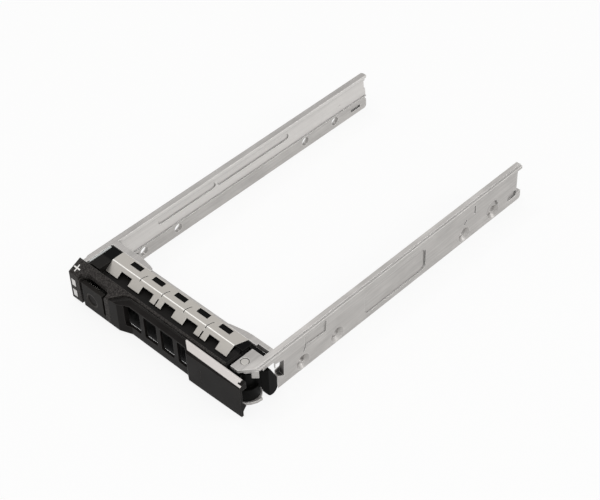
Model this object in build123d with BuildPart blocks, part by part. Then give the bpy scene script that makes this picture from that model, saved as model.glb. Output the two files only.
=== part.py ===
from build123d import *
from math import cos, radians, sin
import os

os.makedirs("parts", exist_ok=True)

# whole carrier: X across, Y from front (-) to connector end (+), Z up from the rail bottoms
length = 136.8
right_short = 2.2
front_y = -length / 2
rear_y = length / 2
height = 14.4
gap = 0.2

# drive that the carrier holds, and its side screws: two sets of holes on each rail
drive_half = 34.925
side_play = 0.175
stop_depth = 18.5
stop_y = front_y + stop_depth
first_screw = 9.7
screw_pitch = 76.6
set_offset = 15.26
screws_y = (stop_y + first_screw, stop_y + first_screw + screw_pitch)
holes_y = (screws_y[0], screws_y[0] + set_offset, screws_y[1], screws_y[1] + set_offset)
hole_z = 3.06
hole_r = 1.65
sink_r = 2.8

# rails: screw band, sloping web, top flange and the low step along its outer edge
band_in = drive_half + side_play
rail_wall = 2.5
rail_out = band_in + rail_wall
band_h = 5.3
web_foot = 0.35
web_t = 1.0
left_web_t = 1.65
flange_t = 1.15
step_w = 0.75
step_h = 0.3
tail_short = 2.35
lobe_d = 0.6

# moulded front: its ends stand out past the rails, and its face sweeps back to the right
bezel_over = 0.8
bezel_out = rail_out + bezel_over
sweep_back = 1.05
bottom_z = 1.05
rim_depth = 5.25
rim_rear_y = front_y + rim_depth
rim_slope = 0.48
wall_t = 0.7
wall_front_y = rim_rear_y - wall_t
trough_z = height - 2.9
skin_t = 1.0

# cross member and floor
side_t = 2.25
side_in = rail_out - side_t
floor_t = 1.0
wall_rear_y = stop_y - 1.5
pad_in_x = 17.8

# shield sheet, laid on its bed against the cross member
sheet_t = 0.25
shield_x0 = -29.9
shield_rear_y = wall_rear_y - 0.8
shield_top = 4.5
shield_fall = 2.4
shield_reach = 3.45
fold_y = shield_rear_y - shield_top
flap_y = fold_y - shield_reach
flap_z = height - shield_fall
flap_gaps = ((-24.35, -19.35), (-14.3, -9.25), (-4.2, 0.8), (5.8, 10.8), (15.9, 20.4))
flap_slits = (-6.75, 13.35)
top_windows = (-21.6, -11.5, -1.2, 8.9, 18.7)
top_slits = (-16.5, -6.4, 3.6, 13.4)
step_y = shield_rear_y - 3.2
bed_z = height - sheet_t

# pivot corner
pin_x = rail_out - 5.3
pin_y = front_y + 9.3
pin_r = 1.0
pin_head_r = 1.3
pin_head_h = 0.45
tongue_r = 4.6
plate_t = 1.1
plate_front_y = pin_y - 4.05
plate_rear_y = pin_y + 5.1
plate_left_x = pin_x - 1.9
pad_end_x = pin_x - 2.1
wall_end_x = pin_x - 3.7
shield_x1 = wall_end_x - 3.2
claw_r = 9.25
claw_top = height - 2.5
claw_in_x = pin_x + 3.9
claw_out_x = bezel_out - 0.05
barrel_r = 2.9
spring_seat_r = 2.2
skirt_r = 4.2

# lamps and light pipes, which run on in grooves of the left rail's outer face
lamp_x = (-bezel_out + 0.95, -bezel_out + 2.85)
upper_lamp_z = (6.85, 9.65)
lower_lamp_z = (2.25, 5.15)
pipe_gap = 0.05
pipe_sunk = 0.1
pipe_t = 0.65
pipe_out = rail_out - pipe_sunk
pipe_in = pipe_out - pipe_t
upper_pipe_z = (height - 4.5, height - 2.0)
lower_pipe_z = (6.1, 7.4)
blade_t = 0.6
blade_x = (-side_in + 0.15, -side_in + 0.15 + blade_t)
blade_front_z = height - 2.4
blade_rear_y = shield_rear_y - 0.9
upper_turn_y = (front_y + 2.4, front_y + 3.3)
lower_turn_y = (front_y + 4.0, front_y + 4.9)

# button, latch and their travel
button_w = 9.6
button_x = (-bezel_out + 6.2, -bezel_out + 6.2 + button_w)
button_top = height - 3.35
button_rear_y = front_y + 1.6
pocket_left_x = button_x[0] - 1.3
slot_w = 1.1
divider_t = 2.0
divider_x = (button_x[1] + slot_w, button_x[1] + slot_w + divider_t)
dimple_x = button_x[0] + 4.1
dimple_z = 5.6
dimple_r = 2.7
button_travel = 1.6
wedge_ratio = 0.7
wedge_h = 4.1
latch_z = (4.7, 8.5)
latch_y = (button_rear_y + 2.1, button_rear_y + 3.4)
slide_gap = 0.08

# handle: grip, the block at its right end, vents and trim strip
grip_left_x = divider_x[1] + gap
grip_rear_y = wall_front_y - 0.8
ridge_y = grip_rear_y - 0.5
handle_slope = 0.6
recess_y = front_y + 1.75
grip_wall = 0.95
block_in_y = front_y + 1.9
block_left_x = 16.2
seam_z = height - 4.2
vent_x = ((-13.1, -6.5), (-4.7, 1.1), (2.9, 8.7), (10.5, 14.2))
vent_z = (4.2, height - 1.3)
strip_t = 0.3
strip_front_y = ridge_y - 1.75
strip_left_x = 13.1
strip_end_x = bezel_out - 1.4


def bow_y(x):
    return front_y + sweep_back * ((x + bezel_out) / (2 * bezel_out)) ** 2


def box(x0, x1, y0, y1, z0, z1, mode=Mode.ADD):
    # block between two corners
    with Locations(((x0 + x1) / 2, (y0 + y1) / 2, (z0 + z1) / 2)):
        Box(abs(x1 - x0), abs(y1 - y0), abs(z1 - z0), mode=mode)


def prism_x(points, x0, x1, mode=Mode.ADD):
    # outline in Y and Z, run along X
    with BuildSketch(Plane.YZ.offset(x0)) as outline:
        Polygon(*points, align=None)
    extrude(outline.sketch, amount=x1 - x0, mode=mode)


def prism_z(points, z0, z1, mode=Mode.ADD):
    # outline in X and Y, run upwards
    with BuildSketch(Plane.XY.offset(z0)) as outline:
        Polygon(*points, align=None)
    extrude(outline.sketch, amount=z1 - z0, mode=mode)


def disc(x, y, radius, z0, z1, mode=Mode.ADD):
    with BuildSketch(Plane.XY.offset(z0)) as ring:
        with Locations((x, y)):
            Circle(radius)
    extrude(ring.sketch, amount=z1 - z0, mode=mode)


def trim_bow():
    # the moulded front, the button, the lamps and the handle share one bowed face in plan
    far = bezel_out + 5
    with BuildSketch(Plane.XY.offset(-1)) as ahead:
        with BuildLine():
            ThreePointArc((-far, bow_y(-far)), (0, bow_y(0)), (far, bow_y(far)))
            Polyline((far, bow_y(far)), (far, front_y - 6), (-far, front_y - 6), (-far, bow_y(-far)))
        make_face()
    extrude(ahead.sketch, amount=height + 3, mode=Mode.SUBTRACT)


def claw_way(radius, z0, z1):
    # room for the claw's sweep, to the right of the floor's edge
    with BuildSketch(Plane.XY.offset(z0)) as sweep_area:
        with Locations((pin_x, pin_y)):
            Circle(radius + gap)
        with Locations((pad_end_x + 10, pin_y)):
            Rectangle(20, 30, mode=Mode.INTERSECT)
    extrude(sweep_area.sketch, amount=z1 - z0, mode=Mode.SUBTRACT)


def coil(radius, wire_r, pitch, turns):
    # round wire on a helix that climbs from the origin
    with BuildPart() as wound:
        with BuildLine():
            path = Helix(pitch, pitch * turns, radius)
        with BuildSketch(Plane(path @ 0, z_dir=path % 0)):
            Circle(wire_r)
        sweep(path=path)
    return wound.part


def rail_outline(web):
    # one rail's section, drawn for the right side; web is the wall left at the web's top
    web_top = height - flange_t
    return [
        (band_in, 0), (rail_out, 0), (rail_out, height - step_h), (rail_out - step_w, height - step_h),
        (rail_out - step_w, height), (band_in, height), (band_in, web_top), (rail_out - web, web_top),
        (rail_out - web, web_top - 0.6), (band_in + web_foot, band_h), (band_in, band_h),
    ]


with BuildPart() as carrier_frame:
    # right rail, from the claw's way to the tail
    right_end_y = rear_y - right_short
    with BuildSketch(Plane.XZ.offset(-right_end_y)):
        Polygon(*rail_outline(web_t), align=None)
    extrude(amount=right_end_y - wall_rear_y)
    # left rail, on to the front corner
    with BuildSketch(Plane.XZ.offset(-rear_y)):
        Polygon(*[(-x, z) for x, z in rail_outline(left_web_t)], align=None)
    extrude(amount=rear_y - rim_rear_y)
    # tails: the right web stops short of flange and bottom tab, the left one ends in two lobes
    tail_y = right_end_y - tail_short
    box(band_in - 1, rail_out + 1, tail_y, rear_y + 1, 3.4, height - 1.4, Mode.SUBTRACT)
    box(-rail_out - 1, -band_in + 1, rear_y - lobe_d, rear_y + 1, height - 6.2, height - 2.8, Mode.SUBTRACT)
    box(-rail_out - 1, -band_in + 1, rear_y - lobe_d, rear_y + 1, 3.6, 5.0, Mode.SUBTRACT)
    low_edges = carrier_frame.edges().filter_by(Axis.X).group_by(Axis.Z)[0].sort_by(Axis.Y)
    fillet(low_edges[-2:], 1.2)
    # solid side at the left corner with its clipped front, floor and wall of the cross member
    box(-rail_out + step_w, -side_in, rim_rear_y, stop_y, 0, height)
    clip = [(-rail_out - 1, rim_rear_y - 1), (-rail_out + 0.7, rim_rear_y - 1), (-rail_out + 0.7, rim_rear_y + 0.6)]
    prism_z(clip + [(-rail_out, rim_rear_y + 2.4), (-rail_out - 1, rim_rear_y + 2.4)], floor_t, height + 1, Mode.SUBTRACT)
    box(-rail_out, pad_end_x, rim_rear_y, stop_y, 0, floor_t)
    box(-band_in, pad_end_x, shield_rear_y, wall_rear_y, 0, bed_z)
    # stop pads for the drive, running out towards the middle
    left_pad = [(-band_in - 1, shield_rear_y), (-band_in - 1, stop_y), (-23.5, stop_y), (-pad_in_x, stop_y - 0.9)]
    prism_z(left_pad + [(-pad_in_x, wall_rear_y), (-pad_in_x + 0.8, wall_rear_y), (-pad_in_x + 0.8, shield_rear_y)], 0, height)
    right_pad = [(pad_in_x, shield_rear_y), (pad_in_x, wall_rear_y), (23.5, stop_y - 0.3), (26.5, stop_y)]
    prism_z(right_pad + [(pad_end_x, stop_y), (pad_end_x, shield_rear_y)], 0, height)
    box(-pad_in_x + 0.8, pad_in_x, wall_rear_y, stop_y + 0.1, -1, floor_t + 1, Mode.SUBTRACT)
    # the pads are hollow from the front
    hollow_z = (floor_t + 0.5, height - 1.4)
    box(-band_in + 1.5, -pad_in_x - 3.5, shield_rear_y - 0.1, stop_y - 1.2, *hollow_z, Mode.SUBTRACT)
    box(pad_in_x + 5.5, pad_end_x - 1.2, shield_rear_y - 0.1, stop_y - 1.2, *hollow_z, Mode.SUBTRACT)
    # bar over the claw's way, from the right pad to the rail
    box(pad_end_x - 0.5, rail_out - step_w, wall_rear_y, stop_y, claw_top + 0.4, height)
    # top plate of the pivot with its clipped corner, and the flange and skin that carry it
    plate = [(plate_left_x, plate_front_y), (pin_x + 1.05, plate_front_y), (rail_out, pin_y + 0.95)]
    flange = [(rail_out, wall_rear_y + 0.5), (band_in - 0.2, wall_rear_y + 0.5), (band_in - 0.2, plate_rear_y)]
    prism_z(plate + flange + [(plate_left_x, plate_rear_y)], height - plate_t, height)
    box(rail_out - web_t, rail_out, pin_y + 2.2, wall_rear_y + 0.5, claw_top + 0.4, height)
    box(rail_out - step_w, rail_out + 1, pin_y - 0.5, holes_y[3] + 5, height - step_h, height + 1, Mode.SUBTRACT)
    # slanted lip ahead of the side window
    lip = [(wall_rear_y + 0.1, 6.0), (wall_rear_y - 1.5, claw_top), (wall_rear_y - 1.5, height - 0.5), (wall_rear_y + 0.1, height - 0.5)]
    prism_x(lip, rail_out - web_t, rail_out)
    # way through for the claw, and the floor's round tongue that holds the pin
    claw_way(claw_r, -0.5, claw_top - 2.3)
    claw_way(claw_r - 0.8, claw_top - 2.4, claw_top + 0.4)
    disc(pin_x, pin_y, tongue_r, 0, floor_t)
    flare = [(pin_x + 2.6, pin_y - 3.8), (pin_x + 4.0, pin_y - 2.4), (pin_x + 4.9, pin_y - 0.6), (pin_x + 5.2, pin_y + 1.4)]
    prism_z(flare + [(pin_x + 2.0, pin_y + 1.4)], 0, floor_t)
    # tongue and stop tab under the clipped corner
    tongue = [(pin_x + 2.0, plate_front_y + 1.6), (rail_out - 0.55, pin_y + 0.7), (rail_out - 1.1, pin_y + 1.1)]
    prism_z(tongue + [(pin_x + 1.5, plate_front_y + 2.0)], height - plate_t - 0.9, height - plate_t + 0.1)
    tab = [(rail_out - 1.7, pin_y - 1.0), (rail_out - 0.1, pin_y + 0.6), (rail_out - 0.7, pin_y + 1.2), (rail_out - 2.2, pin_y - 0.3)]
    prism_z(tab, claw_top - 1.5, height - plate_t + 0.1)
    # pin holes
    disc(pin_x, pin_y, pin_r, -1, height + 1, Mode.SUBTRACT)
    disc(pin_x, pin_y, pin_head_r + 0.2, height - pin_head_h, height + 1, Mode.SUBTRACT)
    # side window in the right rail
    window = [(wall_rear_y - 0.4, 5.6), (wall_rear_y - 0.4, height - 3.3), (stop_y + 1.65, height - 4.2), (stop_y + 1.35, 3.6)]
    prism_x(window, rail_out - 2.0, rail_out + 1, Mode.SUBTRACT)
    # drive screws, countersunk from outside
    with Locations(Plane.YZ.offset(rail_out)):
        with Locations(*[(y, hole_z) for y in holes_y]):
            CounterSinkHole(hole_r, sink_r, rail_wall + 1.5, 90)
    with Locations(Plane((-rail_out, 0, 0), x_dir=(0, -1, 0), z_dir=(-1, 0, 0))):
        with Locations(*[(-y, hole_z) for y in holes_y]):
            CounterSinkHole(hole_r, sink_r, rail_wall + 1.5, 90)
    # long shallow pocket on the right rail's outer face, and the low recess over its front holes
    pocket_w = 28.6
    pocket_y = holes_y[1] + 12.7 + pocket_w / 2
    mark = [(-8.6, height - 1.5), (-9.2, 8.5), (-17.6, 9.0), (-18.8, 7.0), (-19.2, 7.2), (-18.3, 9.2), (-18.3, height - 1.5)]
    with BuildSketch(Plane.YZ.offset(rail_out - 0.3)):
        with Locations((pocket_y, 6.6)):
            RectangleRounded(pocket_w, 9.2, 2.0)
        Polygon(*[(stop_y + 29.0 + y, z) for y, z in mark], align=None)
    extrude(amount=1, mode=Mode.SUBTRACT)
    # slits and recesses round the rear holes
    with BuildSketch(Plane.YZ.offset(rail_out - 0.5)):
        with Locations((pocket_y + pocket_w / 2 + 0.2, 6.4)):
            Rectangle(0.35, 7.6)
        with Locations((holes_y[2] + 5.2, height - 3.7)):
            Rectangle(0.45, 3.2)
        with Locations((holes_y[2] + 0.4, 8.1)):
            Rectangle(0.45, 2.0, rotation=-32)
        with Locations((holes_y[3] - 0.9, hole_z + 2.2)):
            Circle(3.0)
        with Locations((tail_y - 2.4, 3.9)):
            RectangleRounded(4.4, 2.6, 0.6)
    extrude(amount=1, mode=Mode.SUBTRACT)
    # long panels and small recesses on the left rail's inner face
    with BuildSketch(Plane.YZ.offset(-band_in - web_foot - 0.6)):
        with Locations((stop_y + 30.4, height - 4.2)):
            RectangleRounded(26.1, 2.4, 1.1)
        with Locations((stop_y + 61.5, height - 4.4)):
            RectangleRounded(34.3, 2.4, 1.1)
    extrude(amount=1, mode=Mode.SUBTRACT)
    with BuildSketch(Plane.YZ.offset(-band_in - 0.6)):
        with Locations((tail_y - 1.2, 2.5)):
            Rectangle(4.8, 1.2)
        with Locations((holes_y[3] + 2.9, 8.2)):
            Circle(0.5)
    extrude(amount=1, mode=Mode.SUBTRACT)
    prism_x([(stop_y + 4.7, 3.5), (stop_y + 7.6, 3.5), (stop_y + 4.7, 5.7)], -rail_out - 1, -band_in + 1, Mode.SUBTRACT)
    # grooves for the light pipes and the upper pipe's way through the side
    box(-rail_out - 1, -pipe_in, rim_rear_y - 1, rear_y + 1, *upper_pipe_z, Mode.SUBTRACT)
    box(-rail_out - 1, -pipe_in, rim_rear_y - 1, rear_y + 1, *lower_pipe_z, Mode.SUBTRACT)
    box(-rail_out - 1, blade_x[1] + 0.1, blade_rear_y - 1.1, blade_rear_y + 0.6, *upper_pipe_z, Mode.SUBTRACT)
    box(-side_in, blade_x[1] + 0.1, rim_rear_y - 1, blade_rear_y + 0.6, floor_t, height + 1, Mode.SUBTRACT)
    # snap holes for the moulded front
    with BuildSketch(Plane.XY.offset(-1)):
        with Locations((-12, rim_rear_y + 3.5), (14, rim_rear_y + 3.5)):
            Rectangle(4.2, 2.2)
    extrude(amount=3, mode=Mode.SUBTRACT)
carrier_frame.part.label = "carrier_frame"

with BuildPart() as front_bezel:
    # rim block with the lamps and the button, and its thin wall running right
    box(-bezel_out, divider_x[1], front_y - 1, rim_rear_y, bottom_z, height)
    box(divider_x[1] - 0.5, wall_end_x, wall_front_y, rim_rear_y, bottom_z, height)
    # the rim narrows on the slant over the grip's left end
    slant = [(divider_x[1] - 0.5, front_y - 1), (divider_x[1], front_y - 1), (divider_x[1], front_y + 0.7)]
    slant += [(divider_x[1] + 4.0, wall_front_y - 0.55), (divider_x[1] + 6.2, wall_front_y), (divider_x[1] - 0.5, wall_front_y)]
    prism_z(slant, seam_z + 0.1, height)
    rim = [(rim_rear_y, height), (rim_rear_y - 10, height - rim_slope * 10), (rim_rear_y - 10, height + 2), (rim_rear_y, height + 2)]
    prism_x(rim, -bezel_out - 1, wall_end_x + 1, Mode.SUBTRACT)
    trim_bow()
    # trough behind the rim
    box(-side_in + 0.85, wall_end_x, rim_rear_y - 0.1, step_y, trough_z - skin_t, trough_z)
    # bed under the shield, its step, and the corner plate on the left
    bed_rear_y = shield_rear_y - sheet_t
    box(shield_x0 - 0.2, wall_end_x, step_y - skin_t, bed_rear_y, bed_z - skin_t, bed_z)
    box(shield_x0 - 0.2, wall_end_x, step_y - skin_t, step_y, floor_t, bed_z)
    box(-side_in + 0.85, shield_x0 - 0.05, rim_rear_y + 0.8, bed_rear_y, height - 1.2, height - 0.2)
    box(-side_in + 0.85, -side_in + 1.65, rim_rear_y - 0.1, bed_rear_y, floor_t, height - 0.2)
    box(shield_x0 - 0.85, shield_x0 - 0.05, rim_rear_y + 0.8, step_y, trough_z - 0.5, height - 0.3)
    # ribs down to the floor plate
    box(wall_end_x - 0.9, wall_end_x, rim_rear_y - 0.1, bed_rear_y, floor_t, bed_z - 1.1)
    for x in (-18.0, -2.5, 13.0):
        box(x - 0.4, x + 0.4, rim_rear_y - 0.1, step_y, floor_t, trough_z - 0.5)
    # rounded cap that carries on the shield's shape, and the arm that reaches over the claw's way
    with BuildSketch(Plane.YZ.offset(shield_x1 + 0.3)) as cap:
        with BuildLine():
            ThreePointArc((rim_rear_y + 0.9, trough_z - 0.3), (flap_y + 1.6, flap_z + 0.85), (bed_rear_y, height - 0.35))
            Polyline((bed_rear_y, height - 0.35), (bed_rear_y, trough_z), (step_y, trough_z - skin_t))
            Line((step_y, trough_z - skin_t), (rim_rear_y + 0.9, trough_z - skin_t))
            Line((rim_rear_y + 0.9, trough_z - skin_t), (rim_rear_y + 0.9, trough_z - 0.3))
        make_face()
    extrude(cap.sketch, amount=wall_end_x - 0.9 - shield_x1 - 0.3)
    box(shield_x1 + 1.9, band_in - 0.4, plate_rear_y + gap, bed_rear_y, claw_top + 0.95, height - 0.5)
    # button chamber, open at the front, and the groove beside the button
    box(pocket_left_x, divider_x[0], front_y - 1, rim_rear_y + 2.35, bottom_z + 0.9, button_top - 0.65, Mode.SUBTRACT)
    box(pocket_left_x, divider_x[0], front_y - 2, front_y + 3.4, 0, button_top + 0.1, Mode.SUBTRACT)
    pocket = [(-1.8, 1.5), (1.5, 3.0), (4.6, 2.8), (8.5, 2.7), (10.3, 2.3), (11.3, 1.5), (11.3, -2), (-1.8, -2)]
    prism_z([(button_x[0] + x, front_y + y) for x, y in pocket], button_top + 0.1, height + 1, Mode.SUBTRACT)
    # way for the latch through the divider, and the shelf that carries it
    box(divider_x[0] - 1, divider_x[1] + 1, button_rear_y, latch_y[1] + 0.1, latch_z[0] - 0.1, latch_z[1] + 0.1, Mode.SUBTRACT)
    box(pocket_left_x - 0.2, divider_x[0] + 0.2, latch_y[0] - 0.1, latch_y[1] + 0.1, 3.7, latch_z[0])
    # lamp windows and the ways for both light pipes
    box(*lamp_x, front_y - 2, upper_turn_y[1], *upper_lamp_z, Mode.SUBTRACT)
    box(lamp_x[0], blade_x[1] + 0.1, *upper_turn_y, *upper_lamp_z, Mode.SUBTRACT)
    blade_way_z = (upper_lamp_z[0], blade_front_z + 0.1)
    box(blade_x[0] - 0.1, blade_x[1] + 0.1, upper_turn_y[0], rim_rear_y + 0.1, *blade_way_z, Mode.SUBTRACT)
    box(*lamp_x, front_y - 2, lower_turn_y[1], *lower_lamp_z, Mode.SUBTRACT)
    lower_way_z = (lower_lamp_z[0], lower_pipe_z[1])
    box(-pipe_out - 0.1, lamp_x[1], *lower_turn_y, *lower_way_z, Mode.SUBTRACT)
    box(-pipe_out - 0.1, -pipe_in + 0.1, lower_turn_y[0], rim_rear_y + 0.1, *lower_pipe_z, Mode.SUBTRACT)
    # snap lugs that reach through the floor plate
    for x in (-12.0, 14.0):
        box(x - 2.0, x + 2.0, rim_rear_y + 2.5, rim_rear_y + 3.3, 0.1, trough_z - 0.5)
    # soft corner at the left end
    fillet(front_bezel.edges().filter_by(Axis.Z).group_by(Axis.X)[0].sort_by(Axis.Y)[0], 0.3)
front_bezel.part.label = "front_bezel"

with BuildPart() as emi_shield:
    # one folded sheet: rear flange, flat top, sprung flaps sloping to the front
    flap_length = (shield_reach ** 2 + shield_fall ** 2) ** 0.5
    under = (shield_fall / flap_length * sheet_t, -shield_reach / flap_length * sheet_t)
    section = [
        (shield_rear_y, height), (fold_y, height), (flap_y, flap_z), (flap_y + under[0], flap_z + under[1]),
        (fold_y + sheet_t * 0.3, bed_z), (shield_rear_y - sheet_t, bed_z),
        (shield_rear_y - sheet_t, height - 3.2), (shield_rear_y, height - 3.2),
    ]
    prism_x(section, shield_x0, shield_x1 + 1.5)
    # right end runs in on the slant towards the fold
    prism_z([(shield_x1 + 1.5, shield_rear_y + 0.1), (shield_x1, fold_y), (shield_x1 - 0.3, flap_y - 1),
             (shield_x1 + 2, flap_y - 1), (shield_x1 + 2, shield_rear_y + 0.1)], 10, height + 1, Mode.SUBTRACT)
    for x0, x1 in flap_gaps:
        box(x0, x1, fold_y - 1.25, flap_y - 1, 10, height + 1, Mode.SUBTRACT)
    for x in flap_slits:
        box(x - 0.28, x + 0.28, fold_y - 1.55, flap_y - 1, 10, height + 1, Mode.SUBTRACT)
    for x in top_windows:
        box(x - 2.45, x + 2.45, shield_rear_y - 2.4, shield_rear_y - 0.45, height - 1, height + 1, Mode.SUBTRACT)
    # bowed slits that part the bays
    for x in top_slits:
        slit_y = (fold_y - 0.7, fold_y + 1.15, fold_y + 2.65)
        with BuildSketch(Plane.XY.offset(height - 1)):
            with BuildLine():
                ThreePointArc((x - 0.15, slit_y[0]), (x - 0.05, slit_y[1]), (x + 0.5, slit_y[2]))
                Line((x + 0.5, slit_y[2]), (x + 0.8, slit_y[2] - 0.05))
                ThreePointArc((x + 0.8, slit_y[2] - 0.05), (x + 0.25, slit_y[1]), (x + 0.15, slit_y[0]))
                Line((x + 0.15, slit_y[0]), (x - 0.15, slit_y[0]))
            make_face()
        extrude(amount=2, mode=Mode.SUBTRACT)
emi_shield.part.label = "emi_shield"

# trim strip, laid on the block's bevel: slanted left end, notched right end
strip_low_z = height - handle_slope * (ridge_y - strip_front_y)
strip_section = [
    (grip_rear_y, height), (ridge_y, height), (strip_front_y, strip_low_z), (strip_front_y, strip_low_z - strip_t),
    (ridge_y, height - strip_t), (grip_rear_y, height - strip_t),
]
strip_plan = [(strip_left_x, grip_rear_y), (strip_left_x, ridge_y), (strip_left_x + 2.4, strip_front_y)]
strip_plan += [(strip_end_x + 1.1, strip_front_y), (strip_end_x + 1.1, ridge_y - 1.15)]
strip_notch = [(strip_end_x - 0.5, ridge_y - 1.15), (strip_end_x - 0.5, ridge_y - 0.65), (strip_end_x, ridge_y - 0.65)]

with BuildPart() as handle_strip:
    prism_x(strip_section, strip_left_x - 2, bezel_out)
    with BuildSketch(Plane.XY.offset(10)):
        Polygon(*strip_plan, *strip_notch, (strip_end_x, grip_rear_y), align=None)
    extrude(amount=6, mode=Mode.INTERSECT)
handle_strip.part.label = "handle_strip"

with BuildPart() as handle_grip:
    # outline in plan: left end, ramp, finger recess, block
    ahead_y = front_y - 2
    outline = [
        (grip_left_x, grip_rear_y), (grip_left_x, ahead_y), (grip_left_x + 3.3, ahead_y), (grip_left_x + 3.6, front_y),
        (grip_left_x + 8.3, recess_y), (block_left_x - 2.0, recess_y), (block_left_x, front_y + 0.4),
        (block_left_x + 0.2, ahead_y), (bezel_out, ahead_y), (bezel_out, grip_rear_y),
    ]
    prism_z(outline, bottom_z, height)
    trim_bow()
    # the left end makes room for the rim's slant above the seam
    room = [(grip_left_x - 1, front_y + 0.6), (grip_left_x, front_y + 0.6), (grip_left_x + 4.2, grip_rear_y)]
    prism_z(room + [(grip_left_x + 4.2, grip_rear_y + 1), (grip_left_x - 1, grip_rear_y + 1)], seam_z, height + 1, Mode.SUBTRACT)
    # bevel along the ridge, and the left end falling away
    bevel = [(ridge_y, height), (ridge_y - 8, height - handle_slope * 8), (ridge_y - 8, height + 2), (ridge_y, height + 2)]
    prism_x(bevel, grip_left_x - 1, bezel_out + 1, Mode.SUBTRACT)
    fall = [(grip_left_x + 7.0, height), (grip_left_x - 1, height - 3.0), (grip_left_x - 1, height + 1), (grip_left_x + 7.0, height + 1)]
    with BuildSketch(Plane.XZ.offset(-front_y - 8)):
        Polygon(*fall, align=None)
    extrude(amount=12, mode=Mode.SUBTRACT)
    # hollow back, open below and at the block's right end
    hollow_z = (bottom_z + 1.0, height - 2.6)
    box(grip_left_x + 1.0, block_left_x - 1, recess_y + grip_wall, grip_rear_y + 1, *hollow_z, Mode.SUBTRACT)
    box(block_left_x - 2, bezel_out + 1, block_in_y, grip_rear_y + 1, bottom_z + 1.0, claw_top, Mode.SUBTRACT)
    box(pin_x - 6, bezel_out + 1, block_in_y, grip_rear_y + 1, bottom_z - 1, claw_top, Mode.SUBTRACT)
    # vents
    with BuildSketch(Plane.XZ.offset(-front_y - 8)):
        for x0, x1 in vent_x:
            with Locations(((x0 + x1) / 2, sum(vent_z) / 2)):
                RectangleRounded(x1 - x0, vent_z[1] - vent_z[0], 0.6)
    extrude(amount=12, mode=Mode.SUBTRACT)
    # seat of the trim strip
    with BuildPart(mode=Mode.PRIVATE) as seat:
        prism_x(strip_section, strip_left_x - 2, bezel_out)
        with BuildSketch(Plane.XY.offset(10)):
            Polygon(*strip_plan, (strip_end_x, ridge_y - 1.15), (strip_end_x, grip_rear_y), align=None)
        extrude(amount=6, mode=Mode.INTERSECT)
    add(seat.part, mode=Mode.SUBTRACT)
    # curved fang under the open end
    fang_y = bow_y(bezel_out) + 0.1
    with BuildSketch(Plane.YZ.offset(bezel_out - 0.8)):
        with BuildLine():
            ThreePointArc((fang_y, bottom_z), (fang_y + 1.0, bottom_z + 2.2), (fang_y + 2.1, bottom_z + 3.4))
            Polyline((fang_y + 2.1, bottom_z + 3.4), (fang_y + 1.9, bottom_z + 3.9), (block_in_y, bottom_z + 5.2))
            Polyline((block_in_y, bottom_z + 5.2), (fang_y, bottom_z + 5.2), (fang_y, bottom_z))
        make_face()
    extrude(amount=0.8)
    # catch pocket in the left end, and the thin line across the block
    catch_z = (latch_z[0] - 0.2, latch_z[1] + 0.2)
    box(grip_left_x - 1, grip_left_x + 0.6, button_rear_y - 0.05, button_rear_y + 1.3, *catch_z, Mode.SUBTRACT)
    line_x = block_left_x + 5.2
    box(line_x, line_x + 0.25, bow_y(line_x) - 1, bow_y(line_x) + 0.2, 3.0, height - 5.0, Mode.SUBTRACT)
handle_grip.part.label = "handle_grip"

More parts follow.
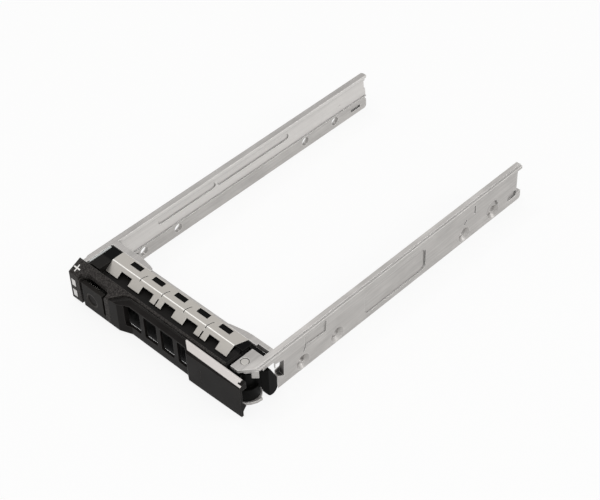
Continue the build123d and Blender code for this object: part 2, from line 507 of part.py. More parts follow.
with BuildPart() as handle_lever:
    # barrel on the pin, slimmer below where the spring sits
    arm_z = (4.8, claw_top - 0.3)
    disc(pin_x, pin_y, barrel_r, *arm_z)
    disc(pin_x, pin_y, spring_seat_r, arm_z[1] - 0.1, height - plate_t - 0.2)
    disc(pin_x, pin_y, spring_seat_r, plate_t + 0.15, arm_z[0] + 0.2)
    # arm to the plate that stiffens the handle's block
    plate_y = (block_in_y, block_in_y + 1.15)
    arm = [(pin_x - 3.0, pin_y), (pin_x - 3.0, plate_y[1]), (pin_x + 1.2, plate_y[1]), (pin_x + 1.2, pin_y - 2.6)]
    prism_z(arm, *arm_z)
    box(block_left_x + 0.3, pin_x + 3.8, *plate_y, bottom_z + 1.35, arm_z[1])
    box(pin_x - 3.6, pin_x + 1.2, plate_y[1] - 0.25, plate_y[1] + 0.95, *arm_z)
    # neck from the barrel out to the claw
    neck = [(pin_x + 1.0, pin_y + 2.0), (claw_in_x + 0.5, pin_y + 4.6), (claw_in_x + 0.5, pin_y + 1.9)]
    prism_z(neck + [(pin_x + 2.6, pin_y + 0.3), (pin_x + 1.0, pin_y + 0.3)], arm_z[0], claw_top)
    # cam claw: flat on the outside, rounded foot, its tail cut on the slant
    with BuildSketch(Plane.YZ.offset(claw_in_x)) as foot:
        with BuildLine():
            ThreePointArc((pin_y + 2.7, 2.6), (pin_y + 4.9, 0.5), (pin_y + 6.9, 2.6))
            Polyline((pin_y + 6.9, 2.6), (pin_y + 6.9, 6.6), (pin_y + 4.4, claw_top), (pin_y + 1.9, claw_top))
            Polyline((pin_y + 1.9, claw_top), (pin_y + 1.9, 4.0), (pin_y + 2.7, 2.6))
        make_face()
    extrude(foot.sketch, amount=claw_out_x - claw_in_x)
    # the claw's front edge runs straight out from the pin
    ahead = [(claw_in_x + 0.5, pin_y + 1.8), (claw_out_x + 1, pin_y + 4.6), (claw_out_x + 1, pin_y + 1.8)]
    prism_z(ahead, 0, claw_top + 1, Mode.SUBTRACT)
    disc(pin_x, pin_y, tongue_r + gap, 0, arm_z[0], Mode.SUBTRACT)
    # skirt round the spring, open towards the block
    with BuildSketch(Plane.XY.offset(floor_t + 0.3)) as skirt:
        with Locations((pin_x, pin_y)):
            Circle(skirt_r)
        with Locations((pin_x + skirt_r + 0.9, pin_y)):
            Rectangle(2 * skirt_r, 3 * skirt_r, mode=Mode.INTERSECT)
    extrude(skirt.sketch, amount=arm_z[0] + 1.2 - floor_t - 0.3)
    disc(pin_x, pin_y, skirt_r - 0.8, 0, arm_z[0], Mode.SUBTRACT)
    disc(pin_x, pin_y, spring_seat_r, plate_t + 0.15, arm_z[0] + 0.2)
    disc(pin_x, pin_y, pin_r + 0.05, 0, height, Mode.SUBTRACT)
handle_lever.part.label = "handle_lever"

with BuildPart() as pivot_pin:
    disc(pin_x, pin_y, pin_r, 0, height - 0.1)
    disc(pin_x, pin_y, pin_head_r, height - pin_head_h, height - 0.05)
    fillet(pivot_pin.faces().sort_by(Axis.Z)[-1].edges(), 0.2)
pivot_pin.part.label = "pivot_pin"

with BuildPart() as handle_spring:
    # torsion coil round the slim part of the barrel
    with Locations((pin_x, pin_y, floor_t + 0.32)):
        add(coil(spring_seat_r + 0.55, 0.26, 0.58, 5))
handle_spring.part.label = "handle_spring"

with BuildPart() as release_button:
    ahead_y = front_y - 1
    box(*button_x, ahead_y, button_rear_y, bottom_z, button_top)
    box(button_x[1] - 0.1, divider_x[0] - 0.1, ahead_y, button_rear_y, bottom_z, 3.0)
    trim_bow()
    # dimple with its ring, each sunk a little deeper
    for radius, depth in ((dimple_r, 0.2), (dimple_r - 0.55, 0.45)):
        with BuildSketch(Plane.XZ.offset(-ahead_y)):
            with Locations((dimple_x, dimple_z)):
                Circle(radius)
        extrude(amount=ahead_y - bow_y(dimple_x) - depth, mode=Mode.SUBTRACT)
    with BuildSketch(Plane.XZ.offset(-bow_y(dimple_x) - 0.15)):
        with Locations((dimple_x, dimple_z)):
            Circle(dimple_r - 0.15)
            Circle(dimple_r - 0.5, mode=Mode.SUBTRACT)
    extrude(amount=-0.25)
    # wedge that drives the latch sideways
    tip_y = button_rear_y + wedge_h
    wedge_x = (button_x[0] + 5.0, button_x[1] - 1.0)
    wedge = [(wedge_x[1], button_rear_y - 0.2), (wedge_x[1], tip_y), (wedge_x[0] + wedge_ratio * wedge_h, tip_y)]
    wedge += [(wedge_x[0], button_rear_y), (wedge_x[0], button_rear_y - 0.2)]
    prism_z(wedge, latch_z[0] + 0.3, latch_z[1] - 0.3)
    # skirts that guide the button
    skirt_y = (button_rear_y - 0.2, latch_y[0] - button_travel - 0.25)
    box(button_x[0], button_x[0] + 0.9, *skirt_y, bottom_z + 1.1, button_top - 1.25)
    box(button_x[1] - 0.9, button_x[1], *skirt_y, bottom_z + 1.1, button_top - 1.25)
release_button.part.label = "release_button"

with BuildPart() as release_latch:
    # slide with its nose, which reaches for the grip's catch
    slide_x = (button_x[0] + 4.2, divider_x[0] + 0.3)
    nose_y = (button_rear_y + 0.1, latch_y[1])
    box(*slide_x, *latch_y, *latch_z)
    box(slide_x[1], divider_x[1] - 0.2, *nose_y, *latch_z)
    # slot for the wedge: its left side has the wedge's slope
    slot_y = (latch_y[0] - 0.1, latch_y[1] + 0.1)
    slot_left = [button_x[0] + 5.0 - slide_gap + wedge_ratio * (y - button_rear_y) for y in slot_y]
    slot_right = button_x[1] + 0.3
    slot = [(slot_left[0], slot_y[0]), (slot_right, slot_y[0]), (slot_right, slot_y[1]), (slot_left[1], slot_y[1])]
    prism_z(slot, latch_z[0] + 0.2, latch_z[1] - 0.2, Mode.SUBTRACT)
    # ramp on the nose
    chamfer(release_latch.edges().filter_by(Axis.Z).group_by(Axis.X)[-1].sort_by(Axis.Y)[0], 0.6)
release_latch.part.label = "release_latch"

with BuildPart() as latch_spring:
    spring_x = pocket_left_x + 0.17
    spring_turns = 6
    with Locations(Plane((spring_x, sum(latch_y) / 2, sum(latch_z) / 2), z_dir=(1, 0, 0))):
        add(coil(0.8, 0.16, (slide_x[0] - spring_x - 0.17) / spring_turns, spring_turns))
latch_spring.part.label = "latch_spring"

with BuildPart() as light_pipe_upper:
    # lamp face, blade along the corner, and the long run in the rail's outer groove
    face_x = (lamp_x[0] + pipe_gap, lamp_x[1] - pipe_gap)
    face_z = (upper_lamp_z[0] + pipe_gap, upper_lamp_z[1] - pipe_gap)
    turn_y = (upper_turn_y[0] + pipe_gap, upper_turn_y[1] - pipe_gap)
    run_z = (upper_pipe_z[0] + pipe_gap, upper_pipe_z[1] - pipe_gap)
    box(*face_x, front_y - 1, turn_y[1], *face_z)
    trim_bow()
    box(face_x[0], blade_x[1], *turn_y, *face_z)
    box(*blade_x, turn_y[0], blade_rear_y, face_z[0], blade_front_z)
    box(*blade_x, rim_rear_y + 1.0, blade_rear_y, run_z[0], height - 0.05)
    box(-pipe_out, blade_x[1], blade_rear_y - 0.9, blade_rear_y, *run_z)
    box(-pipe_out, -pipe_in - pipe_gap, blade_rear_y - 0.9, rear_y, *run_z)
light_pipe_upper.part.label = "light_pipe_upper"

with BuildPart() as light_pipe_lower:
    face_z = (lower_lamp_z[0] + pipe_gap, lower_lamp_z[1] - pipe_gap)
    turn_y = (lower_turn_y[0] + pipe_gap, lower_turn_y[1] - pipe_gap)
    run_z = (lower_pipe_z[0] + pipe_gap, lower_pipe_z[1] - pipe_gap)
    box(*face_x, front_y - 1, turn_y[1], *face_z)
    trim_bow()
    box(-pipe_out, face_x[1], *turn_y, face_z[0], run_z[1])
    box(-pipe_out, -pipe_in - pipe_gap, turn_y[0], rear_y, *run_z)
light_pipe_lower.part.label = "light_pipe_lower"

export_step(carrier_frame.part, "parts/carrier_frame.step")
export_step(front_bezel.part, "parts/front_bezel.step")
export_step(emi_shield.part, "parts/emi_shield.step")
export_step(handle_grip.part, "parts/handle_grip.step")
export_step(handle_strip.part, "parts/handle_strip.step")
export_step(handle_lever.part, "parts/handle_lever.step")
export_step(pivot_pin.part, "parts/pivot_pin.step")
export_step(handle_spring.part, "parts/handle_spring.step")
export_step(release_button.part, "parts/release_button.step")
export_step(release_latch.part, "parts/release_latch.step")
export_step(latch_spring.part, "parts/latch_spring.step")
export_step(light_pipe_upper.part, "parts/light_pipe_upper.step")
export_step(light_pipe_lower.part, "parts/light_pipe_lower.step")
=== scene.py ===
from math import cos, radians, sin

import bpy
import numpy as np
from mathutils import Matrix, Vector


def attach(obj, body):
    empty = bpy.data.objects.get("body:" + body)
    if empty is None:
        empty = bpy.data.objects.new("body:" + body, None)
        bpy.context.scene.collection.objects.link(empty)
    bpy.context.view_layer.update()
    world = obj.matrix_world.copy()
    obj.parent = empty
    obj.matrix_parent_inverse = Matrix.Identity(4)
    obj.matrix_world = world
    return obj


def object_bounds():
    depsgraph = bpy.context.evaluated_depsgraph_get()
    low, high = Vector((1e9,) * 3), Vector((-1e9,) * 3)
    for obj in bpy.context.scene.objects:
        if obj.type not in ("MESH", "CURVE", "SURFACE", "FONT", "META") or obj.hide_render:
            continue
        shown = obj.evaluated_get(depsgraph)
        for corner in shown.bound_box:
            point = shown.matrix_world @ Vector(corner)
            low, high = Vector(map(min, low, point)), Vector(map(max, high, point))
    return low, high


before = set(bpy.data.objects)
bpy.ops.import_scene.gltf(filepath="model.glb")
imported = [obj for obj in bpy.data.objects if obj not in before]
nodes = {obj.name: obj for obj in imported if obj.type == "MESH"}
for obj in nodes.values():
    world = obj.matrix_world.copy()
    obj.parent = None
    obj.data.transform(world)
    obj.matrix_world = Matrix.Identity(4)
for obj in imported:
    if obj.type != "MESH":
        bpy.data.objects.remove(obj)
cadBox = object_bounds()
scene = bpy.context.scene
scene.view_settings.view_transform = "Standard"
print("frame loaded:", len(nodes), "nodes")

mm = 0.001
frontY = cadBox[0][1]

# settings that several nodes share, and the numbered sockets of a Mix node
colours, numbers = {"data_type": "RGBA"}, {"data_type": "FLOAT"}
times, larger = {"operation": "MULTIPLY"}, {"operation": "MAXIMUM"}
minus, unsigned = {"operation": "SUBTRACT"}, {"operation": "ABSOLUTE"}
dot, length = {"operation": "DOT_PRODUCT"}, {"operation": "LENGTH"}
softly = {"samples": 6}
colourA, colourB, colourOut = 6, 7, 2
numberA, numberB = 2, 3


def linearOf(hexColour):
    # sRGB hex to linear RGBA
    values = [int(hexColour[i:i + 2], 16) / 255 for i in (1, 3, 5)]
    return [v / 12.92 if v <= 0.04045 else ((v + 0.055) / 1.055) ** 2.4 for v in values] + [1.0]


def addNode(owner, kind, settings=None, links=None, values=None):
    # one node: its own settings, fixed socket values, and sockets fed by (node, output) pairs
    node = owner.node_tree.nodes.new("ShaderNode" + kind)
    for name, value in (settings or {}).items():
        setattr(node, name, value)
    for name, value in (values or {}).items():
        node.inputs[name].default_value = value
    for name, (source, output) in (links or {}).items():
        owner.node_tree.links.new(source.outputs[output], node.inputs[name])
    return node


def startMaterial(name):
    material = bpy.data.materials.new(name)
    material.use_nodes = True
    material.node_tree.nodes.clear()
    return material, addNode(material, "TexCoord")


def endMaterial(material, shader, output="BSDF"):
    addNode(material, "OutputMaterial", links={"Surface": (shader, output)})
    return material


def patternsOf(material, coords, patterns):
    # each pattern is cloudy noise: blob size in mm, how far it is drawn out along X, Y and Z, and detail
    made = {}
    for name, (size, drawnOut, detail) in patterns.items():
        scale = [1 / (size * mm * s) for s in drawnOut]
        mapping = addNode(material, "Mapping", values={"Scale": scale}, links={"Vector": (coords, "Object")})
        made[name] = addNode(material, "TexNoise", values={"Scale": 1.0, "Detail": detail},
                             links={"Vector": (mapping, "Vector")})
    return made


def paintStops(ramp, stops):
    elements = ramp.color_ramp.elements
    while len(elements) < len(stops):
        elements.new(0.5)
    for element, (place, colour) in zip(elements, stops):
        element.position = place
        element.color = linearOf(colour)


def fade(start, end, top=1.0, base=0.0):
    # values for a Map Range: the result goes from base to top as the number goes from start to end, and stays
    return {"From Min": start, "From Max": end, "To Min": base, "To Max": top}


def allOf(material, masks):
    # masks multiplied together, so the result is only strong where every one of them is
    product = masks[0]
    for mask in masks[1:]:
        product = addNode(material, "Math", times, links={0: (product, 0), 1: (mask, 0)})
    return product


def paintOver(material, paint, layers):
    # lays one colour after another over a (node, output) paint, each as thick as its mask says
    for mask, colour in layers:
        paint = (addNode(material, "Mix", colours, values={colourB: linearOf(colour)},
                         links={0: (mask, 0), colourA: paint}), colourOut)
    return paint


# an edge begins where the rounded normal has left the face's own, by the cosine of the angle between the two
edgeBegins, edgeFull = 0.99, 0.86
# a face counts as turned to an axis from the first to the second of these parts of its normal
turnBegins, turnFull = 0.4, 0.7


def edgesOf(material, rounded, share):
    # zero on a flat, rising to the given share along an edge
    own = addNode(material, "NewGeometry")
    along = addNode(material, "VectorMath", dot, links={0: (rounded, "Normal"), 1: (own, "True Normal")})
    return addNode(material, "MapRange", values=fade(edgeBegins, edgeFull, share),
                   links={"Value": (along, "Value")})


def nearLine(material, value, place, line):
    # the line's share at its place, gone at half its width: the value less the place, without its sign
    off = addNode(material, "Math", minus, values={1: place}, links={0: value})
    size = addNode(material, "Math", unsigned, links={0: (off, 0)})
    half = line["half"] * mm
    return addNode(material, "MapRange", values=fade(half, half * line["core"], line["share"]),
                   links={"Value": (size, 0)})


# die-cast aluminium, tumbled: pale warm grey with faint blotches and streaks drawn along the rails; painted
# highlights on the edges, painted shade in grooves, countersinks and corners, painted light on the left
# rail's inner face, and painted shade on upward faces left of the right rail; a real casting's skin is finer,
# and is drawn at 0.4 mm so that it shows
castLook = {
    "tones": [(0.32, "#a8a5a2"), (0.5, "#b7b4b1"), (0.68, "#c6c3c0")],
    "patterns": {
        "blotch": (4.0, (1, 2.2, 1), 5),
        "streak": (0.5, (1, 34, 1), 3),
        "skin": (0.4, (1, 1, 1), 3),
    },
    "streakInTone": 0.45, "streakInRelief": 0.5,
    # painted light: the left rail's inner face, turned to +X and above its lower band, made paler
    "bright": {"tone": "#efece9", "share": 0.5, "to": -20, "blur": 1, "rise": (5.2, 5.5)},
    # painted shade: upward faces left of the right rail made darker
    "paintedTopShade": {"tone": "#8b8886", "share": 0.38, "to": 34, "blur": 0.5},
    # painted shade: darker where ambient occlusion finds surfaces close by, in grooves, countersinks and
    # corners
    "paintedRecessShade": {"tone": "#4c4a48", "share": 0.85, "reach": 2.4, "open": 0.92, "closed": 0.52},
    # painted highlight: a paler tone along the edges
    "paintedEdgeHighlight": {"tone": "#f4f2ef", "share": 0.85, "edge": 0.26},
    "clouds": (0.3, 0.7), "roughness": (0.30, 0.5), "metallic": 0.62, "relief": 0.26, "depth": 0.12,
}


def castAluminium(look):
    material, coords = startMaterial("cast aluminium tumbled")
    bright, paintedTopShade, paintedRecessShade, paintedEdgeHighlight = (look[k] for k in ("bright", "paintedTopShade", "paintedRecessShade", "paintedEdgeHighlight"))
    made = patternsOf(material, coords, look["patterns"])
    cloudy = addNode(material, "Mix", numbers, values={0: look["streakInTone"]},
                     links={numberA: (made["blotch"], "Fac"), numberB: (made["streak"], "Fac")})
    tones = addNode(material, "ValToRGB", links={"Fac": (cloudy, 0)})
    paintStops(tones, look["tones"])
    rounded = addNode(material, "Bevel", softly, values={"Radius": paintedEdgeHighlight["edge"] * mm})
    place = addNode(material, "SeparateXYZ", links={"Vector": (coords, "Object")})
    facing = addNode(material, "SeparateXYZ", links={"Vector": (coords, "Normal")})
    clear = addNode(material, "AmbientOcclusion", {"samples": 8, "only_local": True},
                    values={"Distance": paintedRecessShade["reach"] * mm})

    bands = {
        "atLeft": (place, "X", fade((bright["to"] + bright["blur"]) * mm, bright["to"] * mm)),
        "inward": (facing, "X", fade(turnBegins, turnFull, bright["share"])),
        "risen": (place, "Z", fade(bright["rise"][0] * mm, bright["rise"][1] * mm)),
        "besideRail": (place, "X", fade((paintedTopShade["to"] + paintedTopShade["blur"]) * mm, paintedTopShade["to"] * mm)),
        "upward": (facing, "Z", fade(turnBegins, turnFull, paintedTopShade["share"])),
        "recess": (clear, "AO", fade(paintedRecessShade["open"], paintedRecessShade["closed"], paintedRecessShade["share"])),
        "gloss": (made["blotch"], "Fac", fade(*look["clouds"], look["roughness"][1], look["roughness"][0])),
    }
    band = {name: addNode(material, "MapRange", values=values, links={"Value": (source, output)})
            for name, (source, output, values) in bands.items()}
    # painted light on the left rail's inner face, then painted shade on upward faces and in recesses, then
    # painted highlights on the edges
    innerFace = allOf(material, [band["atLeft"], band["inward"], band["risen"]])
    frontTops = allOf(material, [band["besideRail"], band["upward"]])
    painted = paintOver(material, (tones, "Color"), [
        (innerFace, bright["tone"]), (frontTops, paintedTopShade["tone"]), (band["recess"], paintedRecessShade["tone"]),
        (edgesOf(material, rounded, paintedEdgeHighlight["share"]), paintedEdgeHighlight["tone"])])

    grain = addNode(material, "Mix", numbers, values={0: look["streakInRelief"]},
                    links={numberA: (made["skin"], "Fac"), numberB: (made["streak"], "Fac")})
    bump = addNode(material, "Bump", values={"Strength": look["relief"], "Distance": look["depth"] * mm},
                   links={"Height": (grain, 0), "Normal": (rounded, "Normal")})
    shader = addNode(material, "BsdfPrincipled", values={"Metallic": look["metallic"]},
                     links={"Base Color": painted, "Roughness": (band["gloss"], 0),
                            "Normal": (bump, "Normal")})
    return endMaterial(material, shader)


# black ABS, injection moulded: deep warm black with a low sheen, and a painted highlight that makes the edges
# a shade paler; the real moulded texture is finer, and is drawn at 0.3 mm so that it shows
plasticLook = {
    "patterns": {"cloud": (6.0, (1, 1, 1), 3), "fine": (0.3, (1, 1, 1), 2)}, "clouds": (0.35, 0.7),
    "relief": 0.1, "depth": 0.06, "sheen": 0.045,
    "paintedEdgeHighlight": {"tone": "#6c6966", "share": 0.5, "edge": 0.22},
}
gripLook = {"roughness": 0.4, "deep": "#191716", "light": "#211f1e"}
# the button's dimple gets a painted highlight round its rim, a greyer ring
buttonLook = {
    "roughness": 0.42, "deep": "#1b1918", "light": "#242220",
    "ring": {
        "x": -28.1, "z": 5.6, "radius": 2.45, "half": 0.36, "core": 0.3, "share": 0.55, "tone": "#5a5755",
    },
}


def blackPlastic(name, look, piece):
    material, coords = startMaterial(name)
    made = patternsOf(material, coords, look["patterns"])
    tones = addNode(material, "ValToRGB", links={"Fac": (made["cloud"], "Fac")})
    paintStops(tones, list(zip(look["clouds"], (piece["deep"], piece["light"]))))
    rounded = addNode(material, "Bevel", softly, values={"Radius": look["paintedEdgeHighlight"]["edge"] * mm})
    # painted highlight: a paler tone along the edges
    layers = [(edgesOf(material, rounded, look["paintedEdgeHighlight"]["share"]), look["paintedEdgeHighlight"]["tone"])]
    # painted highlight: a greyer ring round the dimple's rim
    if "ring" in piece:
        # distance from the ring's middle: the square root of dx squared plus dz squared
        ring = piece["ring"]
        flat = addNode(material, "Mapping", links={"Vector": (coords, "Object")},
                       values={"Location": [-ring["x"] * mm, 0, -ring["z"] * mm], "Scale": [1, 0, 1]})
        far = addNode(material, "VectorMath", length, links={0: (flat, "Vector")})
        layers.append((nearLine(material, (far, "Value"), ring["radius"] * mm, ring), ring["tone"]))
    bump = addNode(material, "Bump", values={"Strength": look["relief"], "Distance": look["depth"] * mm},
                   links={"Height": (made["fine"], "Fac"), "Normal": (rounded, "Normal")})
    shader = addNode(material, "BsdfPrincipled",
                     values={"Roughness": piece["roughness"], "Specular IOR Level": look["sheen"]},
                     links={"Base Color": paintOver(material, (tones, "Color"), layers),
                            "Normal": (bump, "Normal")})
    return endMaterial(material, shader)


# black ABS again: the bezel's rim is spark-grained, which looks a shade lighter and sparkles; the trough
# behind it is smooth; painted shade makes the wells behind the handle's vents and the bezel under the shield
# near black, and a weaker painted highlight pales the edges; a real spark grain is finer, and is drawn at
# 0.42 mm so that it shows
rimLook = {
    "patterns": {"grain": (0.42, (1, 1, 1), 2)}, "tones": [(0.40, "#262423"), (0.62, "#454240")],
    "trough": "#1c1b1a", "reach": 5.35, "smooth": 0.07, "paintedEdgeHighlightPart": 0.6,
    "paintedWellShade": {"tone": "#060606", "from": -19.0, "top": 11.0, "bedFrom": 10.9, "bedBlur": 0.6},
    "blur": 0.1, "relief": 0.7, "depth": 0.12, "roughness": 0.45,
}


def grainedPlastic(look, rim):
    material, coords = startMaterial("ABS spark grained rim")
    place = addNode(material, "SeparateXYZ", links={"Vector": (coords, "Object")})
    paintedWellShade, blur = rim["paintedWellShade"], rim["blur"]
    bands = {
        "onRim": ("Y", fade(frontY + rim["reach"] * mm, frontY + (rim["reach"] + blur) * mm,
                            rim["smooth"], 1.0)),
        "pastHandle": ("X", fade(paintedWellShade["from"] * mm, (paintedWellShade["from"] + blur) * mm)),
        "below": ("Z", fade(paintedWellShade["top"] * mm, (paintedWellShade["top"] - blur) * mm)),
        "underShield": ("Y", fade(frontY + paintedWellShade["bedFrom"] * mm,
                                  frontY + (paintedWellShade["bedFrom"] + paintedWellShade["bedBlur"]) * mm)),
    }
    band = {name: addNode(material, "MapRange", values=values, links={"Value": (place, axis)})
            for name, (axis, values) in bands.items()}
    grain = patternsOf(material, coords, rim["patterns"])["grain"]
    speckle = addNode(material, "ValToRGB", links={"Fac": (grain, "Fac")})
    paintStops(speckle, rim["tones"])
    tones = addNode(material, "Mix", colours, values={colourA: linearOf(rim["trough"])},
                    links={0: (band["onRim"], 0), colourB: (speckle, "Color")})
    # painted shade: near black behind the handle's vents and under the shield
    behindVents = allOf(material, [band["pastHandle"], band["below"]])
    inPaintedWellShade = addNode(material, "Math", larger, links={0: (behindVents, 0), 1: (band["underShield"], 0)})
    rounded = addNode(material, "Bevel", softly, values={"Radius": look["paintedEdgeHighlight"]["edge"] * mm})
    # painted highlight: a paler tone along the edges, weaker than on the grip
    edges = edgesOf(material, rounded, look["paintedEdgeHighlight"]["share"] * rim["paintedEdgeHighlightPart"])
    painted = paintOver(material, (tones, colourOut),
                        [(inPaintedWellShade, paintedWellShade["tone"]), (edges, look["paintedEdgeHighlight"]["tone"])])
    height = allOf(material, [grain, band["onRim"]])
    bump = addNode(material, "Bump", values={"Strength": rim["relief"], "Distance": rim["depth"] * mm},
                   links={"Height": (height, 0), "Normal": (rounded, "Normal")})
    shader = addNode(material, "BsdfPrincipled",
                     values={"Roughness": rim["roughness"], "Specular IOR Level": look["sheen"]},
                     links={"Base Color": painted, "Normal": (bump, "Normal")})
    return endMaterial(material, shader)


# what the plain finishes have in common: brush lines along X, which are finer in the real thing and are drawn
# 0.3 mm wide so that they show
plainLook = {
    "edge": 0.08, "metallic": 1.0, "sheen": 0.5,
    "fine": (0.3, (14, 1, 1), 3), "brushed": 0.0, "depth": 0.05,
}
# stainless sheet, rolled and stamped: satin warm grey, with painted highlights along its edges and on the
# line where it is bent
shieldLook = {
    **plainLook, "tone": "#aeaaa4", "roughness": 0.36, "edge": 0.13, "metallic": 0.85, "brushed": 0.15,
    "paintedEdgeHighlight": {"tone": "#f2f0ec", "share": 0.6},
    "fold": {"at": 11.72, "half": 0.25, "core": 0.4, "share": 0.8},
}
# anodised aluminium, brushed satin: the palest band of the front
stripLook = {**plainLook, "tone": "#c4bfbc", "roughness": 0.34, "metallic": 0.85, "brushed": 0.1}
# steel with a flat black coating: nearly no gloss, so that barrel and claw read as one dark shape
leverLook = {**plainLook, "tone": "#090908", "roughness": 0.45, "edge": 0.3, "metallic": 0.0, "sheen": 0.05}
# turned steel: a shade glossier than the casting that the pin sits in
pinLook = {**plainLook, "tone": "#b5b2ae", "roughness": 0.3, "edge": 0.1}
# spring wire, drawn: mid grey with an even gloss
wireLook = {**plainLook, "tone": "#7d7b78", "roughness": 0.35}


def plainFinish(name, look):
    material, coords = startMaterial(name)
    fine = patternsOf(material, coords, {"fine": look["fine"]})["fine"]
    rounded = addNode(material, "Bevel", softly, values={"Radius": look["edge"] * mm})
    paint = {}
    # painted highlight: a paler tone along the edges and on the line of the bend
    if "fold" in look:
        split = addNode(material, "SeparateXYZ", links={"Vector": (coords, "Object")})
        line = nearLine(material, (split, "Y"), frontY + look["fold"]["at"] * mm, look["fold"])
        edges = edgesOf(material, rounded, look["paintedEdgeHighlight"]["share"])
        bright = addNode(material, "Math", larger, links={0: (edges, 0), 1: (line, 0)})
        paintedHighlight = addNode(material, "Mix", colours, links={0: (bright, 0)},
                       values={colourA: linearOf(look["tone"]), colourB: linearOf(look["paintedEdgeHighlight"]["tone"])})
        paint = {"Base Color": (paintedHighlight, colourOut)}
    bump = addNode(material, "Bump", values={"Strength": look["brushed"], "Distance": look["depth"] * mm},
                   links={"Height": (fine, "Fac"), "Normal": (rounded, "Normal")})
    shader = addNode(material, "BsdfPrincipled",
                     values={"Base Color": linearOf(look["tone"]), "Metallic": look["metallic"],
                             "Roughness": look["roughness"], "Specular IOR Level": look["sheen"]},
                     links={"Normal": (bump, "Normal"), **paint})
    return endMaterial(material, shader)


# clear polycarbonate, moulded: milky along its length, its lamp faces frosted pale grey
clearLook = {
    "body": {"Base Color": "#c6c9c8", "Roughness": 0.12, "IOR": 1.58, "Transmission Weight": 0.12},
    "face": {"Base Color": "#dcdad8", "Roughness": 0.5, "IOR": 1.58},
    "faceDepth": 1.2, "blur": 0.3,
}


def clearPlastic(look):
    material, coords = startMaterial("clear polycarbonate")
    split = addNode(material, "SeparateXYZ", links={"Vector": (coords, "Object")})
    start = frontY + look["faceDepth"] * mm
    atFront = addNode(material, "MapRange", values=fade(start, start + look["blur"] * mm, 0.0, 1.0),
                      links={"Value": (split, "Y")})
    body, face = (
        addNode(material, "BsdfPrincipled", values={**part, "Base Color": linearOf(part["Base Color"])})
        for part in (look["body"], look["face"]))
    shader = addNode(material, "MixShader", links={0: (atFront, 0), 1: (body, "BSDF"), 2: (face, "BSDF")})
    return endMaterial(material, shader, "Shader")


finishes = {
    "carrier_frame": castAluminium(castLook),
    "front_bezel": grainedPlastic(plasticLook, rimLook),
    "handle_grip": blackPlastic("ABS satin", plasticLook, gripLook),
    "release_button": blackPlastic("ABS satin button", plasticLook, buttonLook),
    "emi_shield": plainFinish("stainless sheet rolled", shieldLook),
    "handle_strip": plainFinish("anodised strip satin", stripLook),
    "handle_lever": plainFinish("black coated steel", leverLook),
    "pivot_pin": plainFinish("turned steel", pinLook),
    "handle_spring": plainFinish("spring wire drawn", wireLook),
    "light_pipe_upper": clearPlastic(clearLook),
}
for name, like in (("release_latch", "release_button"), ("latch_spring", "handle_spring"),
                   ("light_pipe_lower", "light_pipe_upper")):
    finishes[name] = finishes[like]
for name, material in finishes.items():
    nodes[name].data.materials.clear()
    nodes[name].data.materials.append(material)
print("finishes:", len(finishes))


# a small plain plus on the rim's left corner, pad printed: flat off-white paint, a film lying on the slope
markLook = {
    "centre": (-36.6, -66.1), "reach": (1.4, 1.2), "stroke": 0.42,
    "rimBack": 5.25, "slope": 0.48, "proud": 0.03, "sunk": 0.04,
    "paint": {**plainLook, "tone": "#eceae7", "roughness": 0.5, "edge": 0.05, "metallic": 0.0},
}


def plusMark(look):
    # twelve corners round two crossed bars, in turn; the height of each is the rim's top less the slope times
    # the distance ahead of the rim's back, and the film reaches from sunk below that to proud above it
    (cx, cy), (rx, ry), half = look["centre"], look["reach"], look["stroke"] / 2
    across = np.array([rx, rx, half, half, -half, -half, -rx, -rx, -half, -half, half, half]) + cx
    along = np.array([-half, half, half, ry, ry, half, half, -half, -half, -ry, -ry, -half]) + cy
    slopeZ = cadBox[1][2] / mm - look["slope"] * (frontY / mm + look["rimBack"] - along)
    upper = np.stack([across, along, slopeZ + look["proud"]], axis=1)
    lower = np.stack([across, along, slopeZ - look["sunk"]], axis=1)
    corners = len(across)
    first = np.arange(corners)
    second = (first + 1) % corners
    sides = np.stack([first + corners, second + corners, second, first], axis=1)
    mesh = bpy.data.meshes.new("plus_mark")
    mesh.from_pydata((np.concatenate([upper, lower]) * mm).tolist(), [],
                     [first.tolist(), (first[::-1] + corners).tolist()] + sides.tolist())
    return mesh


markMesh = plusMark(markLook)
markMesh.materials.append(plainFinish("pad printed paint", markLook["paint"]))
mark = bpy.data.objects.new("plus_mark", markMesh)
scene.collection.objects.link(mark)
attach(mark, "carrier")
print("mark on the rim")


def whiteForEye(owner):
    # 1 where the eye, a reflection or a view through clear plastic meets the surface
    path = addNode(owner, "LightPath")
    first = addNode(owner, "Math", larger, links={0: (path, "Is Camera Ray"), 1: (path, "Is Glossy Ray")})
    return addNode(owner, "Math", larger, links={0: (first, 0), 1: (path, "Is Transmission Ray")})


studio = {
    "worldLight": 0.55, "white": (1, 1, 1, 1),
    "floorLift": 0.85, "floorTone": "#f4f4f3", "floorReach": 3.0,
}

world = bpy.data.worlds.new("studio")
scene.world = world
world.use_nodes = True
world.node_tree.nodes.clear()
soft, bright = (addNode(world, "Background", values={"Color": studio["white"], "Strength": strength})
                for strength in (studio["worldLight"], 1.0))
choose = addNode(world, "MixShader", links={0: (whiteForEye(world), 0), 1: (soft, 0), 2: (bright, 0)})
addNode(world, "OutputWorld", links={0: (choose, 0)})

floorMesh = bpy.data.meshes.new("floor")
reach = studio["floorReach"]
floorMesh.from_pydata([(-reach, -reach, 0), (reach, -reach, 0), (reach, reach, 0), (-reach, reach, 0)], [],
                      [(0, 1, 2, 3)])
floor = bpy.data.objects.new("floor", floorMesh)
scene.collection.objects.link(floor)
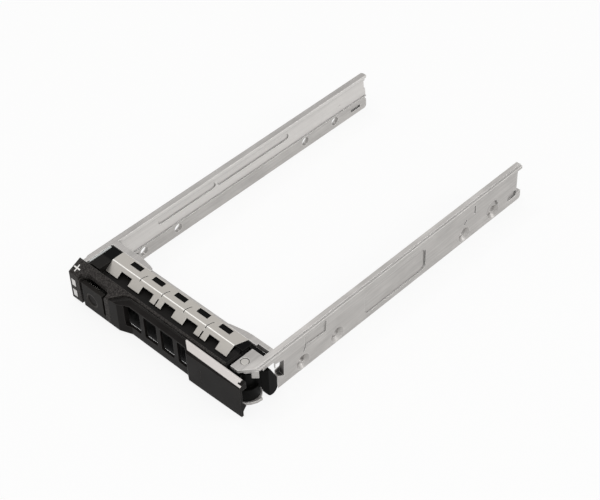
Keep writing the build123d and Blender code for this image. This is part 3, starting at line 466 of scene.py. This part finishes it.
# painted board, matt: near white, lifted to the background's white for the eye while it keeps the shadow
floorPaint, _ = startMaterial("pale sweep")
matte = addNode(floorPaint, "BsdfDiffuse", values={"Color": linearOf(studio["floorTone"])})
lift = addNode(floorPaint, "Emission", values={"Color": studio["white"], "Strength": 1.0})
lifted = addNode(floorPaint, "Math", times, values={1: studio["floorLift"]},
                 links={0: (whiteForEye(floorPaint), 0)})
mixed = addNode(floorPaint, "MixShader", links={0: (lifted, 0), 1: (matte, 0), 2: (lift, 0)})
floorMesh.materials.append(endMaterial(floorPaint, mixed, "Shader"))

# a big soft light overhead and in front, and two narrow ones that only catch the folds and edges
lamps = {
    "overhead": {"place": (0.15, -0.35, 0.95), "size": 1.4, "power": 5.0},
    "foldLine": {"place": (-0.60, 0.03, 0.95), "size": 0.12, "power": 0.8},
    "railEdge": {"place": (0.75, 0.56, 0.57), "size": 0.35, "power": 1.5},
}
for name, lamp in lamps.items():
    light = bpy.data.lights.new(name, "AREA")
    light.size = lamp["size"]
    light.energy = lamp["power"]
    holder = bpy.data.objects.new(name, light)
    place = Vector(lamp["place"])
    holder.location = place
    holder.rotation_euler = (-place).to_track_quat("-Z", "Y").to_euler()
    scene.collection.objects.link(holder)

# where the camera stood, in degrees, and in millimetres for its place, lens and sensor
cameraFit = {
    "azimuth": 45.668, "elevation": 43.319, "roll": -2.396, "place": (263.91, -260.69, 347.65),
    "lens": 91.82, "sensor": 36, "nearest": 10,
}
az, el, roll = (radians(cameraFit[k]) for k in ("azimuth", "elevation", "roll"))
back = Vector((sin(az) * cos(el), -cos(az) * cos(el), sin(el)))
right = Vector((cos(az), sin(az), 0))
up = back.cross(right)
rolledRight = cos(roll) * right + sin(roll) * up
rolledUp = -sin(roll) * right + cos(roll) * up
cameraData = bpy.data.cameras.new("camera")
cameraData.sensor_width = cameraFit["sensor"]
cameraData.lens = cameraFit["lens"]
cameraData.clip_start = cameraFit["nearest"] * mm
camera = bpy.data.objects.new("camera", cameraData)
matrix = Matrix((rolledRight, rolledUp, back)).transposed().to_4x4()
matrix.translation = Vector(cameraFit["place"]) * mm
camera.matrix_world = matrix
scene.collection.objects.link(camera)
scene.camera = camera
print("stage, lamps and camera set")
